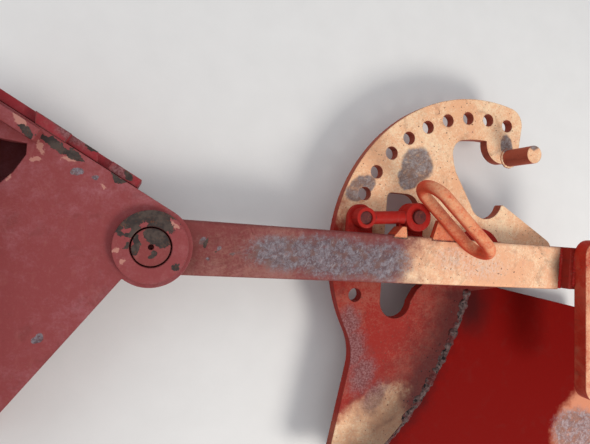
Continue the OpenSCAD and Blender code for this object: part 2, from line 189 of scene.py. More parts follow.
# %% Wires and finishes
class Wire:
    """A socket's output that can be used in an expression."""

    def __init__(self, finish, socket):
        self.finish = finish
        self.socket = socket

    def _math(self, operation, first, second=None):
        values = {0: first} if second is None else {0: first, 1: second}
        return self.finish.node("ShaderNodeMath", {"operation": operation}, values)

    def __add__(self, other):
        return self._math("ADD", self, other)

    def __sub__(self, other):
        return self._math("SUBTRACT", self, other)

    def __rsub__(self, other):
        return self._math("SUBTRACT", other, self)

    def __mul__(self, other):
        return self._math("MULTIPLY", self, other)

    def __abs__(self):
        return self._math("ABSOLUTE", self)

    def over(self, other):
        """The larger of two values: both masks together."""
        return self._math("MAXIMUM", self, other)

    def under(self, other):
        """The smaller of two values: only where both masks are."""
        return self._math("MINIMUM", self, other)

    __radd__ = __add__
    __rmul__ = __mul__


class Finish:
    """A material that is written as expressions."""

    def __init__(self, name):
        self.material = bpy.data.materials.new(name)
        self.material.use_nodes = True
        self.tree = self.material.node_tree
        self.tree.nodes.clear()

    def node(self, kind, settings=None, sockets=None, out=0):
        """Adds a node: its settings first, then a value or a wire for each socket."""
        added = self.tree.nodes.new(kind)
        for key, value in (settings or {}).items():
            setattr(added, key, value)
        for key, value in (sockets or {}).items():
            if isinstance(value, Wire):
                self.tree.links.new(value.socket, added.inputs[key])
            else:
                added.inputs[key].default_value = value
        return Wire(self, added.outputs[out]) if added.outputs else None

    def place(self):
        """Where the point is, in millimetres from the hinge."""
        metres = self.node("ShaderNodeTexCoord", out="Object")
        move = {"Vector": metres, "Location": tuple(-HINGE * 1000), "Scale": (1000, 1000, 1000)}
        return self.node("ShaderNodeMapping", {"vector_type": "POINT"}, move)

    def cloud(self, here, size, detail=3.0, rough=0.55, bend=0.0):
        """Soft noise from 0 to 1, whose lumps are about `size` millimetres across."""
        sockets = {"Vector": here, "Scale": 1 / size, "Detail": detail, "Roughness": rough,
                   "Distortion": bend}
        return self.node("ShaderNodeTexNoise", None, sockets)

    def step(self, value, low, high):
        """0 below low, 1 above high, and smooth between."""
        sockets = {"Value": value, "From Min": low, "From Max": high}
        return self.node("ShaderNodeMapRange", {"interpolation_type": "SMOOTHSTEP"}, sockets)

    def mix(self, mask, first, second):
        """One colour where the mask is 0 and the other where it is 1."""
        return self.node("ShaderNodeMix", {"data_type": "RGBA"}, {0: mask, 6: first, 7: second}, 2)

    def blend(self, mask, first, second):
        """The same for plain values."""
        return self.node("ShaderNodeMix", {"data_type": "FLOAT"}, {0: mask, 2: first, 3: second})

    def squeeze(self, here, turn, along, across, tall=1.0):
        """Turned and stretched coordinates, for streaks and drag lines."""
        sockets = {"Vector": here, "Rotation": (0, 0, math.radians(turn)),
                   "Scale": (along, across, tall)}
        return self.node("ShaderNodeMapping", {"vector_type": "TEXTURE"}, sockets)

    def spots(self, here, places):
        """1 in the middle of an oval, 0 at its rim, less outside; the largest of several."""
        found = None
        for x, y, along, across, turn in places:
            sockets = {"Vector": here, "Location": (x, y, 0), "Scale": (along, across, 9999),
                       "Rotation": (0, 0, math.radians(turn))}
            local = self.node("ShaderNodeMapping", {"vector_type": "TEXTURE"}, sockets)
            reach = self.node("ShaderNodeVectorMath", {"operation": "LENGTH"}, {0: local}, "Value")
            found = 1 - reach if found is None else found.over(1 - reach)
        return found

    def normal_z(self):
        """1 on a face that looks straight up, 0 on a side, -1 underneath."""
        normal = self.node("ShaderNodeNewGeometry", out="Normal")
        return self.node("ShaderNodeSeparateXYZ", None, {0: normal}, "Z")

    def sharp(self, reach):
        """About 0.3 on a sharp edge, and 0 where the surface is flat for `reach` millimetres."""
        soft = self.node("ShaderNodeBevel", {"samples": 4}, {"Radius": reach / 1000})
        normal = self.node("ShaderNodeNewGeometry", out="Normal")
        match = self.node("ShaderNodeVectorMath", {"operation": "DOT_PRODUCT"},
                          {0: soft, 1: normal}, "Value")
        return 1 - match

    def part(self, here, axis):
        """One of a place's three numbers."""
        return self.node("ShaderNodeSeparateXYZ", None, {0: here}, axis)

    def bent(self, here, size, amount):
        """Coordinates pushed about by up to `amount` millimetres, so that an oval turns ragged."""
        sockets = {"Vector": here, "Scale": 1 / size, "Detail": 4.0, "Roughness": 0.6}
        push = self.node("ShaderNodeTexNoise", None, sockets, "Color")
        push = self.node("ShaderNodeVectorMath", {"operation": "SUBTRACT"},
                         {0: push, 1: (0.5, 0.5, 0.5)})
        push = self.node("ShaderNodeVectorMath", {"operation": "SCALE"},
                         {0: push, "Scale": 2.0 * amount})
        return self.node("ShaderNodeVectorMath", {"operation": "ADD"}, {0: here, 1: push})

    def cracks(self, here, size):
        """1 on the thin lines between crazed flakes about `size` millimetres across."""
        gap = self.node("ShaderNodeTexVoronoi", {"feature": "DISTANCE_TO_EDGE"},
                        {"Vector": here, "Scale": 1 / size}, "Distance")
        return 1 - self.step(gap, 0.02, 0.1)

    def scratches(self, here, turn, size, thin):
        """Thin lines where a stretched noise crosses its middle value."""
        drawn = self.cloud(self.squeeze(here, turn, 16.0, 1.0), size, 1.5)
        return self.step(1 - abs(drawn - 0.5) * thin, 0.0, 0.8)

    def done(self, colour, rough, metal, height, depth, specular=0.4):
        """The surface itself. `height`, from 0 to 1, is a bump of up to `depth` millimetres."""
        bump = self.node("ShaderNodeBump", None,
                         {"Strength": 0.8, "Distance": depth / 1000, "Height": height})
        sockets = {"Base Color": colour, "Roughness": rough, "Metallic": metal, "Normal": bump,
                   "Specular IOR Level": specular}
        surface = self.node("ShaderNodeBsdfPrincipled", None, sockets)
        self.node("ShaderNodeOutputMaterial", None, {"Surface": surface})
        print("finish", self.material.name, len(self.tree.nodes), "nodes")
        return self.material


# %% [markdown]
# Paint on farm steel fades and turns chalky, chips along every edge, peels where steel rubs on
# steel, and carries scratches and dust. It is built up in layers, each a short function. All of
# them read the same few noises, so that the layers belong to one surface.

# %% Colours and noises of weathered paint
STEEL_DARK = srgb(62, 53, 50)
STEEL_BROWN = srgb(86, 73, 66)
STEEL_BLUE = srgb(136, 134, 140)
RUST = srgb(124, 68, 42)
CHALK = srgb(206, 150, 132)
DUST = srgb(196, 160, 138)
GRIME = srgb(98, 52, 46)
PIT = srgb(104, 56, 46)
RAIN_RUN = srgb(92, 46, 38)
# Also the colour of painted shade beside the long weld and by the bar.
SOOT_AND_SHADE = srgb(46, 20, 20)


class Weathered(Finish):
    """A finish with the noises and the directions that all its layers share."""

    def __init__(self, name):
        super().__init__(name)
        self.here = self.place()
        self.broad = self.cloud(self.here, 95, 3)
        self.mottle = self.cloud(self.here, 15, 5, 0.6)
        self.grain = self.cloud(self.here, 2.3, 3, 0.65)
        self.tatter = self.cloud(self.here, 6, 7, 0.76)
        self.astray = self.bent(self.here, 13, 9)
        facing = self.normal_z()
        self.up = self.step(facing, 0.1, 0.8)
        self.side = 1 - self.step(abs(facing), 0.2, 0.5)
        # Where the piece is pale: partly faded paint, partly painted sunlight.
        self.sunlit_share = None  # where the piece is pale, if it is so anywhere


# %% [markdown]
# The film itself is a mix of the fresh and the faded colour. Where a piece has pale places, both
# colours change there, mostly on the faces that look up. The pale places are partly faded paint and
# partly painted sunlight, and the darker colour around them is partly painted shade.

# %% The film
def film(f, fresh, faded, fade, faded_and_sunlit, sunlit_fresh, sunlit_faded):
    """The fresh and the faded colour at each point, and how far the film has bleached."""
    # Pale places are partly faded paint and partly painted sunlight, lighter on the faces that look
    # up.
    if faded_and_sunlit:
        pale = f.spots(f.here, faded_and_sunlit) + (f.broad - 0.5) * 0.7 + (f.mottle - 0.5) * 0.5
        f.sunlit_share = f.step(pale, -0.1, 0.3) * (f.up * 0.85 + 0.15)
        fresh = f.mix(f.sunlit_share, fresh, sunlit_fresh)
        faded = f.mix(f.sunlit_share, faded, sunlit_faded)
    weather = f.broad * 0.4 + f.mottle * 0.36 + f.grain * 0.24
    bleach = f.step(weather, 0.66 - 0.4 * fade, 0.9 - 0.4 * fade) * (f.up * 0.92 + 0.08)
    return fresh, faded, bleach


def where_pale(f, mask, inside, outside):
    """A mask that is stronger in the pale places, which are partly painted sunlight, if the piece
    has any.
    """
    return mask if f.sunlit_share is None else mask * (f.sunlit_share * inside + outside)


# %% [markdown]
# Dust, grime, pits and smears lie over the film. Each is a noise of its own size that shows only
# above a threshold.

# %% Dust and dirt
def flecks(f, colour, fresh, pale, speckle, dirt):
    """Pale flecks, dust, grime, pits and smears over a colour."""
    here = f.here
    if pale:
        fleck = f.cloud(here, 2.6, 5, 0.7)
        cream = f.step(f.broad * 0.35 + f.tatter * 0.35 + fleck * 0.3, 0.46, 0.6) * f.up
        colour = f.mix(where_pale(f, cream, 0.9, 0.1) * speckle, colour, pale)
        blush = f.cloud(f.squeeze(here, 8, 1, 3.2), 9, 5, 0.68)
        colour = f.mix(f.step(blush, 0.5, 0.68) * f.up * speckle * 0.4, colour, fresh)
    dust = f.step(f.cloud(here, 3.4, 3, 0.7), 0.52, 0.72) * f.up * speckle
    # Dust shows mostly in the pale places, which are partly painted sunlight.
    colour = f.mix(where_pale(f, dust, 0.8, 0.2) * 0.4, colour, DUST)
    grime = f.step(f.cloud(here, 30, 6, 0.68, 0.6), 0.52, 0.72) * dirt
    colour = f.mix(grime, colour, GRIME)
    pits = f.step(f.cloud(here, 1.5, 2), 0.66, 0.74).over(f.step(f.cloud(here, 3.6, 1), 0.7, 0.74))
    colour = f.mix(pits * speckle * 1.1, colour, PIT)
    smear = f.cloud(f.squeeze(here, 84, 2.6, 1), 8, 4, 0.66)
    smear = f.step(smear, 0.56, 0.68) * f.up * speckle
    # Smears show only in the pale places, which are partly painted sunlight.
    smear = smear if f.sunlit_share is None else smear * f.sunlit_share
    return f.mix(smear * 0.34, colour, CHALK)


# %% [markdown]
# Some marks belong to one place: a grey bloom, a chalky spot, a scuffed patch. Their ovals are bent
# by noise, so that none looks drawn. Rain leaves runs on the sides.

# %% Marks and runs
def marks(f, colour, faded, bloom, chalky, scuffed):
    """The marks that each piece lists, and the runs and shade of the sides and the underside."""
    here = f.here
    if bloom:
        haze = f.step(f.spots(f.astray, bloom) + (f.tatter - 0.5) * 0.7, -0.1, 0.6)
        grey = f.mix(f.step(f.cloud(here, 2.4, 5, 0.7), 0.4, 0.62), srgb(92, 58, 60),
                     srgb(142, 110, 110))
        colour = f.mix(haze * f.up * 0.7, colour, grey)
    if chalky:
        chalk = f.step(f.spots(f.astray, chalky) + (f.tatter - 0.5), 0.0, 0.3) * f.up
        colour = f.mix(chalk * 0.6, colour, CHALK)
    if scuffed:
        patch = f.step(f.spots(f.astray, scuffed) + (f.tatter - 0.5) * 1.3, -0.1, 0.6) * f.up
        streaks = f.cloud(f.squeeze(here, 84, 1.5, 1), 3.2, 6, 0.8)
        colour = f.mix(patch * f.step(streaks, 0.44, 0.62) * 0.55, colour, srgb(226, 208, 196))
        colour = f.mix(patch * (1 - f.step(streaks, 0.34, 0.48)) * 0.35, colour,
                       srgb(168, 98, 74))
    runs = f.step(f.cloud(f.squeeze(here, 0, 1, 1, 9), 7, 5, 0.68), 0.5, 0.72) * f.side
    colour = f.mix(runs * 0.35, colour, RAIN_RUN)
    shade = f.step(f.cloud(here, 42, 5, 0.62, 0.8), 0.42, 0.62) * (1 - f.up)
    return f.mix(shade * 0.14, colour, faded)


# %% [markdown]
# Paint leaves the steel in three ways: as small chips, along the edges, and in the larger peeled
# places that a piece lists. Rubbed places are different: the paint is thinned there, not lost.

# %% Bare and rubbed places
def bare_places(f, ragged, chips, edges, peeled, kept):
    """1 where the steel is bare."""
    high = 0.775 - 0.06 * chips
    bare = f.step(f.cloud(f.here, 8, 5, 0.66), high - 0.01, high)
    worn_edge = f.sharp(3.2) * 3.0 + ragged * 0.8
    bare = bare.over(f.step(worn_edge, 1.04 - edges * 0.7, 1.14 - edges * 0.7))
    if peeled:
        open_steel = f.spots(f.astray, peeled)
        if kept:
            open_steel = open_steel.under(f.spots(f.astray, kept) * -0.6)
        bare = bare.over(f.step(open_steel + ragged * 0.7, -0.02, 0.04) * f.up)
    return bare


def brown_steel(f):
    """The colour of steel that was bared long ago."""
    steel = f.mix(f.step(f.cloud(f.here, 9, 5, 0.65), 0.4, 0.62), STEEL_DARK, STEEL_BROWN)
    return f.mix(f.step(f.grain * 0.5 + f.mottle * 0.5, 0.54, 0.64) * 0.55, steel, RUST)


def rub(f, ragged, rubbed, ragged_rub):
    """Where the paint is rubbed thin, and its grey and blue there."""
    here = f.here
    worn = f.spots(f.bent(here, 26, 7), rubbed) + ragged * ragged_rub
    worn = f.step(worn, -0.03 - ragged_rub * 0.25, 0.1 + ragged_rub * 0.4) * f.up
    left = f.step(f.cloud(f.squeeze(here, 20, 2.2, 1), 4.5, 6, 0.72), 0.52, 0.66)
    blue = f.mix(f.step(f.tatter, 0.4, 0.6), srgb(96, 88, 92), STEEL_BLUE)
    blue = f.mix(f.cracks(f.astray, 6) * 0.45, blue, srgb(88, 56, 56))
    blue = f.mix(f.step(f.cloud(here, 14, 4), 0.5, 0.62) * 0.7, blue, srgb(112, 84, 76))
    bright = f.step(f.cloud(f.squeeze(here, 62, 4.0, 1), 3, 4, 0.7), 0.58, 0.68)
    return worn * (1 - left * 0.3), f.mix(bright * 0.6, blue, srgb(172, 168, 170))


# %% [markdown]
# The heat of the long weld scorched the paint in a band on both sides of it, and the band is also
# painted shade from the corner between plate and sheet and from the bar above. The band follows the
# weld's circle, and ends where the bar covers it. The dark spots that some pieces list, beside the
# weld and at the bar's end, are soot and painted shade together.

# %% Scorched paint and painted shade
BAR_COVERS = (-48, -22)  # the scorch fades out between these two places along y


def scorched_and_shaded(f, scorch_and_shade, burn_and_shade_reach, soot_and_shade_spots):
    """1 where the paint is burnt or painted shade lies, or nothing for a piece without either."""
    burn_and_shade = None
    if scorch_and_shade:
        x, y, radius = scorch_and_shade
        off = abs((1 - f.spots(f.here, [(x, y, 1, 1, 0)])) - radius)
        off = off + (f.mottle - 0.5) * 34 + (f.broad - 0.5) * 50
        burn_and_shade = 1 - f.step(off, burn_and_shade_reach / 6, burn_and_shade_reach)
        burn_and_shade = burn_and_shade * (1 - f.step(f.part(f.here, "Y"), *BAR_COVERS))
    if soot_and_shade_spots:
        soot_and_shade = f.spots(f.here, soot_and_shade_spots) + (f.broad - 0.5) + (f.mottle - 0.5) * 0.3
        soot_and_shade = f.step(soot_and_shade, -0.2, 0.9)
        burn_and_shade = soot_and_shade if burn_and_shade is None else burn_and_shade.over(soot_and_shade)
    return burn_and_shade


# %% [markdown]
# Each finish puts the layers together with its own colours and its own worn places. `fade` is how
# far the paint has bleached, `chips` and `edges` how much of it is gone, and `speckle`, `dirt` and
# `scuffs` how much dust, grime and scratches lie on it. `cover` is how far a rubbed place hides the
# paint, `ragged_rub` how torn its rim is, and the burn reach how many millimetres the scorch, which
# is partly painted shade, goes out from the weld.

# %% Weathered paint
def painted(name, fresh, faded, fade=0.5, faded_and_sunlit=(), sunlit_fresh=None, sunlit_faded=None, pale=None,
            peeled=(), kept=(), rubbed=(), cover=0.85, chalky=(), bloom=(), scuffed=(),
            scorch_and_shade=None, burn_and_shade_reach=56, soot_and_shade_spots=(), chips=0.4, edges=0.5, speckle=0.3, scuffs=0.4,
            dirt=0.28, ragged_rub=0.14, sheen=0.14):
    """Weathered paint: `peeled` places are bare and brown, `rubbed` ones thin, grey and blue."""
    f = Weathered(name)
    fresh, faded, bleach = film(f, fresh, faded, fade, faded_and_sunlit, sunlit_fresh, sunlit_faded)
    colour = flecks(f, f.mix(bleach, fresh, faded), fresh, pale, speckle, dirt)
    colour = marks(f, colour, faded, bloom, chalky, scuffed)

    lines = f.scratches(f.here, 24, 5, 34).over(f.scratches(f.here, -67, 8, 44))
    lines = lines * f.step(f.cloud(f.here, 70, 2), 0.54, 0.68) * scuffs
    colour = f.mix(lines * 0.5, colour, CHALK)

    ragged = (f.mottle - 0.5) * 0.7 + (f.tatter - 0.5) * 1.3
    bare = bare_places(f, ragged, chips, edges, peeled, kept)
    metal = bare * 0.25
    colour = f.mix(bare, colour, brown_steel(f))
    if rubbed:
        worn, blue = rub(f, ragged, rubbed, ragged_rub)
        colour = f.mix(worn * cover, colour, blue)
        metal = metal.over(worn * 0.3)
        bare = bare.over(worn * 0.7)
    # Burnt paint and painted shade by the weld, under the bar and at the bar's end.
    burn_and_shade = scorched_and_shaded(f, scorch_and_shade, burn_and_shade_reach, soot_and_shade_spots)
    if burn_and_shade is not None:
        colour = f.mix(burn_and_shade * 0.8, colour, SOOT_AND_SHADE)

    rough = f.blend(bare, bleach * 0.2 + 0.54 + (f.grain - 0.5) * 0.2, (f.mottle - 0.5) * 0.5 + 0.5)
    drag = f.cloud(f.squeeze(f.here, 0, 1, 1, 14), 1.5, 1)
    height = (1 - bare) * 0.42 + f.mottle * 0.3 + f.grain * 0.16
    height = height + lines * -0.1 + drag * f.side * 0.3
    return f.done(colour, rough, metal, height, 0.55, sheen)


# %% [markdown]
# The welds have the same paint over them, but the long one on the catcher is burnt and bare. The
# nut, washer, stud and collar are plain steel with a dull brown skin and some stray paint. The
# keeper's post and the lock pin are steel too, under an old dark red film, and their darkness is
# partly painted shade inside the eye and the sleeve that hold them.

# %% Bare steel and burnt weld
def bare_steel(name, dark, light, rust, shine, overspray=0.0):
    """Dull steel with rust in its pores and, with `overspray`, some of the red paint over it."""
    f = Finish(name)
    here = f.place()
    mottle = f.cloud(here, 9, 5, 0.6)
    grain = f.cloud(here, 1.4, 3, 0.65)
    colour = f.mix(f.step(mottle, 0.36, 0.62), dark, light)
    rusty = mottle * 0.5 + grain * 0.5 + (f.cloud(here, 30, 2) - 0.5)
    rusty = f.step(rusty, 0.62 - rust * 0.2, 0.72)
    colour = f.mix(rusty * 0.8, colour, RUST)
    metal = (1 - rusty) * shine
    if overspray:
        coat = f.step(f.cloud(here, 12, 4, 0.6), 0.62 - overspray * 0.3, 0.68 - overspray * 0.3)
        colour = f.mix(coat, colour, srgb(140, 50, 42))
        metal = metal * (1 - coat)
    rough = 0.62 - metal * 0.35 + (grain - 0.5) * 0.3
    return f.done(colour, rough, metal, mottle * 0.5 + grain * 0.3 - rusty * 0.2, 0.35)


def burnt(name):
    """A weld that was left as it cooled: grey scale, black pits and a few rusty runs."""
    f = Finish(name)
    here = f.place()
    mottle = f.cloud(here, 6, 5, 0.65)
    grain = f.cloud(here, 1.2, 3, 0.7)
    colour = f.mix(f.step(mottle, 0.36, 0.66), srgb(56, 38, 36), srgb(100, 80, 76))
    colour = f.mix(f.step(f.cloud(here, 15, 3), 0.47, 0.58) * 0.85, colour, srgb(84, 26, 24))
    colour = f.mix(f.step(grain, 0.62, 0.74) * 0.45, colour, srgb(150, 132, 126))
    pits = 1 - f.step(f.cloud(f.bent(here, 5, 2), 6.5, 2, 0.5), 0.34, 0.42)
    colour = f.mix(pits, colour, srgb(22, 17, 17))
    rough, metal, height = 0.72 - mottle * 0.3, mottle * 0.25, mottle * 0.5 + grain * 0.5 - pits
    return f.done(colour, rough, metal, height, 0.9, 0.2)


# %% [markdown]
# Each finish lists its own worn places as ovals: x and y of the middle, half the length and half
# the width, all in millimetres and from the hinge, and the turn in degrees. The hub ring has lost
# much of its paint, and the swinging plate is rubbed grey in a few places beside its holes.
#
# The pale places of the bar, plate and sheet are where the picture is bright. Part of that is its
# sunlight and not the paint, so treat them as a choice: they are partly painted sunlight, and the
# deeper reds around them, the sheet's dark red and the bracket's mauve red are partly painted
# shade. Without the list of pale places and the `pale` colour, a piece is one even red. Without the
# list alone, pale flecks cover all of it. The orange of the loop and the strap is how they look in
# that sun, too, so it is partly painted sunlight, and so is the orange of the keeper's gusset,
# which shares the loop's finish.

# %% The finishes of this arm
FINISH = {
    # The bracket's mauve red is partly painted shade.
    "bracket": painted(
        "bracket_paint", srgb(142, 66, 66), srgb(160, 94, 98), 0.56,
        peeled=[(-102, 98, 13, 4, -31), (-83, 90, 14, 4, -33), (-38, 69, 10, 3.2, -31),
                (-122, 104, 9, 5, -60)],
        rubbed=[(-76, 73, 7, 4, 10), (-60, 68, 4, 3, 0), (-101, -96, 6, 4, 20)],
        chalky=[(-86, 85, 8, 4, -10), (-52, 60, 3, 3, 0), (-114, 80, 5, 4, 0), (-138, 61, 4, 3, 0),
                (-127, 114, 12, 3.5, -50), (-112, 92, 6, 3, -60)],
        chips=0.3, edges=0.34, speckle=0.12, scuffs=0.14),
    "web": painted(
        "web_paint", srgb(146, 44, 50), srgb(158, 82, 84), 0.5,
        bloom=[(-84, 112, 26, 12, -33), (-36, 78, 16, 10, -33)],
        peeled=[(-66, 100, 9, 4, -33), (-28, 72, 7, 4, -33)], chips=0.6, edges=0.6,
        speckle=0.16, scuffs=0.25),
    "ring": painted(
        "ring_paint", srgb(142, 66, 66), srgb(158, 90, 92), 0.52,
        peeled=[(-8, 38, 46, 32, 14), (-26, -1, 5, 3, 0), (27, -19, 4, 5, 60)],
        kept=[(-25, 17, 5, 4, 0), (-9, 22, 5, 4, -40), (24, 26, 7, 4, -45), (-32, 1, 6, 6, 0)],
        chalky=[(-35, -5, 4, 3, 0), (-29, -18, 4, 3, 40), (23, 24, 5, 3, -45)],
        chips=0.6, edges=0.5, speckle=0.14, scuffs=0.14),
    "bar": painted(
        "bar_paint", srgb(124, 60, 58), srgb(144, 88, 86), 0.5,
        # The pale places are partly painted sunlight, and the mauve red around them is partly
        # painted shade.
        faded_and_sunlit=[(475, 0, 165, 60, 0)], sunlit_fresh=srgb(236, 176, 136),
        sunlit_faded=srgb(248, 202, 160), pale=srgb(252, 226, 188),
        peeled=[(61, 6, 2.2, 5, -20), (46, -2, 2, 2, 0), (69, -3, 2, 2, 0)],
        rubbed=[(158, 0, 54, 22, 0), (220, -2, 78, 27, -3), (285, -4, 44, 27, 0),
                (58, 9, 3, 5, -20), (45, -2, 2.5, 2, 0), (76, 1, 3, 2.5, 20),
                (64, -13, 2.5, 2, 0), (92, -5, 2.5, 2, 0)], cover=0.84,
        # The dark spot at the bar's end is weld soot and painted shadow of the strap together.
        scuffed=[(390, 4, 34, 20, 0), (440, -4, 50, 22, 0)], soot_and_shade_spots=[(578, 0, 20, 40, 0)],
        chips=0.6, edges=0.8, speckle=0.72, scuffs=0.2, dirt=0.4, ragged_rub=0.7),
    "riser": painted(
        "riser_paint", srgb(136, 34, 26), srgb(160, 66, 52), 0.4, chips=0.5, edges=0.5, scuffs=0.0,
        sheen=0.08),
    # The strap's and the loop's orange, paler on the faces that look up, is partly painted
    # sunlight.
    "strap": painted(
        "strap_paint", srgb(172, 34, 20), srgb(222, 156, 120), 0.8, pale=srgb(240, 200, 160),
        chips=0.4, edges=0.4, speckle=0.5, scuffs=0.1, sheen=0.08),
    "loop": painted(
        "loop_paint", srgb(196, 58, 34), srgb(230, 142, 100), 0.86, pale=srgb(240, 196, 150),
        chips=0.4, edges=0.2, speckle=0.5, scuffs=0.0),
    "lock": painted(
        "lock_paint", srgb(166, 32, 25), srgb(178, 66, 54), 0.3, chips=0.45, edges=0.4,
        speckle=0.15, scuffs=0.2, sheen=0.1),
    "plate": painted(
        "plate_paint", srgb(146, 36, 28), srgb(158, 52, 42), 0.45,
        # The pale places are partly painted sunlight, and the deep red around them is partly
        # painted shade.
        faded_and_sunlit=[(400, 150, 210, 145, 20), (540, 70, 90, 90, -50), (300, -240, 80, 50, 40)],
        sunlit_fresh=srgb(236, 178, 136), sunlit_faded=srgb(250, 206, 162), pale=srgb(254, 230, 192),
        rubbed=[(349, 131, 29, 25, 50), (338, 112, 18, 18, 0), (266, 91, 24, 15, 40),
                (500, 178, 10, 17, 20)],
        bloom=[(262, -92, 20, 32, 0), (270, -126, 25, 36, -10), (288, -160, 23, 34, -24),
               (308, -192, 20, 32, -36)],
        # The wide scorch band and the dark spot by the weld are soot and painted shade together.
        scorch_and_shade=(*WELD_CENTRE, WELD_RADIUS), burn_and_shade_reach=92, soot_and_shade_spots=[(424, -84, 46, 66, -15)],
        chips=0.35, edges=0.5, speckle=0.7, scuffs=0.1, dirt=0.36, sheen=0.08),
    "sheet": painted(
        # The deep red is partly painted shade, and the pale place at the far end is partly painted
        # sunlight.
        "sheet_paint", srgb(118, 12, 8), srgb(126, 20, 12), 0.3,
        faded_and_sunlit=[(722, -266, 112, 68, 60)], sunlit_fresh=srgb(214, 140, 108),
        sunlit_faded=srgb(230, 168, 134), rubbed=[(700, -276, 54, 44, -30)],
        # The scorch and the dark spot by the bar are soot and painted shade together.
        scorch_and_shade=(*WELD_CENTRE, WELD_RADIUS), soot_and_shade_spots=[(480, -66, 62, 46, -50)],
        chips=0.2, edges=0.4, speckle=0.03, scuffs=0.0, dirt=0.1, ragged_rub=0.35, sheen=0.02),
    "steel": bare_steel(
        "dull_steel", srgb(84, 76, 72), srgb(132, 124, 120), 0.5, 0.75, overspray=0.35),
    "pin": painted(
        "pin_paint", srgb(134, 62, 60), srgb(152, 86, 84), 0.5,
        peeled=[(8, 11, 16, 10, -8), (-15, 1, 5, 12, 5), (2, -8, 5, 4, 30)],
        chips=0.8, edges=0.6, speckle=0.2, scuffs=0.1),
    # Partly painted shade: the keeper's post and the lock pin sit inside an eye and a sleeve.
    "greasy_and_shaded": bare_steel("greasy_shaded_steel", srgb(66, 16, 13), srgb(100, 28, 22), -0.3, 0.05),
    "burnt": burnt("burnt_weld"),
}

# %% [markdown]
# Real plate never has a knife edge: the torch, the grinder and years of knocks leave it rounded by
# about a millimetre. A solid's mesh is left alone, so a copy of it gets a Bevel modifier. The copy
# may come as loose triangles, so its corners are merged and its flat faces joined first, because
# only an edge where two faces meet is broken.

# %% Broken edges
FLAT = math.radians(0.3)  # faces that turn less than this are one face
FOLD = math.radians(34)  # faces that turn more than this meet in an edge
ROLLED = 2.0  # millimetres: only the long edges of rolled bar are broken by more than this
CUT_END = 0.2  # metres: the shorter edges of such a bar are those of its cut ends
CUT_EDGE = 0.8  # millimetres that a cut end's edges are broken by


def share_of(side, edge):
    """How much of the full width this edge is broken by, from 0 to 1."""
    if len(side.link_faces) != 2 or side.calc_face_angle() <= FOLD:
        return 0.0
    if edge > ROLLED and side.calc_length() < CUT_END:
        return CUT_EDGE / edge
    return 1.0


def dress(node, finish, edge=1.0, slot="red_paint", blank=None):
    """A copy of a solid in its finish, with its sharp edges broken by `edge` millimetres.

    With a blank, the copy keeps only what lies inside the blank, and its edges stay as they are.
    """
    shape = bmesh.new()
    copied(shape, frame["nodes"][node].data)
    bmesh.ops.remove_doubles(shape, verts=shape.verts, dist=SAME_CORNER)
    bmesh.ops.dissolve_limit(shape, angle_limit=FLAT, verts=shape.verts, edges=shape.edges)
    share = shape.edges.layers.float.new("bevel_weight_edge")
    for side in shape.edges:
        side[share] = share_of(side, edge)
    piece = made(node + "_dressed", shape)
    piece.data.materials.append(FINISH[finish])
    piece.data.shade_smooth()
    if blank:
        turn = piece.modifiers.new("turned_shoulders", "BOOLEAN")
        turn.operation = "INTERSECT"
        turn.object = blank
        piece.data.shade_flat()
        return settle(piece, frame["nodes"][node]["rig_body"], slot, node)
    bevel = piece.modifiers.new("broken_edges", "BEVEL")
    bevel.width = edge / 1000
    bevel.segments = 2 if edge < 2 else 4
    bevel.limit_method = "WEIGHT"
    bevel.use_clamp_overlap = False
    smooth = piece.modifiers.new("flat_faces_stay_flat", "WEIGHTED_NORMAL")
    smooth.keep_sharp = True
    smooth.weight = 80
    return settle(piece, frame["nodes"][node]["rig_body"], slot, node)


def settle(piece, body, slot, *nodes):
    """Turns a piece's modifiers into plain mesh, fixes it to its body and hides its solids. `slot`
    is not used.
    """
    bpy.context.view_layer.update()
    graph = bpy.context.evaluated_depsgraph_get()
    plain = bpy.data.meshes.new_from_object(piece.evaluated_get(graph))
    piece.modifiers.clear()
    piece.data = plain
    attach(piece, body)
    if nodes:
        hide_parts(*nodes)
    print(piece.name, len(plain.polygons), "faces on", body)
    return piece


# Each solid's finish, and the millimetres that its edges are broken by
DRESSING = {
    "flange": ("bracket", 1.2), "upper_cheek": ("bracket", 1.0), "lower_cheek": ("bracket", 1.0),
    "upper_ring": ("ring", 0.9), "lower_ring": ("ring", 0.9), "side_web": ("web", 0.8),
    "web_packer": ("web", 0.0), "inner_web": ("web", 0.8), "cheek_rib": ("bracket", 1.2),
    "hinge_pin": ("pin", 0.7), "pin_collar": ("steel", 0.8),
    "arm_bar": ("bar", 2.2), "end_riser": ("riser", 1.2), "end_strap": ("strap", 1.2),
    "loop_handle": ("loop", 0.0), "loop_foot": ("loop", 0.8), "lock_lug": ("lock", 0.8),
    "lock_sleeve": ("lock", 0.8), "tie_rod": ("lock", 0.0), "keeper_lug": ("lock", 0.8),
    # The keeper's gusset takes the loop's orange, which is partly painted sunlight.
    "keeper_post": ("greasy_and_shaded", 0.8), "keeper_eye": ("lock", 0.8), "keeper_gusset": ("loop", 0.6),
    "swivel_spacer": ("lock", 1.0), "swivel_stud": ("steel", 1.0), "swivel_washer": ("steel", 0.5),
    "catch_plate": ("plate", 0.8), "hook_peg": ("plate", 1.0), "guide_sheet": ("sheet", 0.8),
    "lock_pin": ("greasy_and_shaded", 0.7),
}
LEFT_SHARP = 0.01  # millimetres: the bevel needs a width, and this one is too small to see
for node, (finish, edge) in DRESSING.items():
    slot = "worn_steel" if finish in ("steel", "greasy_and_shaded") else "red_paint"
    dress(node, finish, max(edge, LEFT_SHARP), slot)

# %% [markdown]
# A hexagon nut is turned to a cone at both ends before it is sold, which leaves the curved
# shoulders on its six flats. A Boolean with a turned blank gives exactly that: what lies in both
# the hexagon and the blank is the nut.

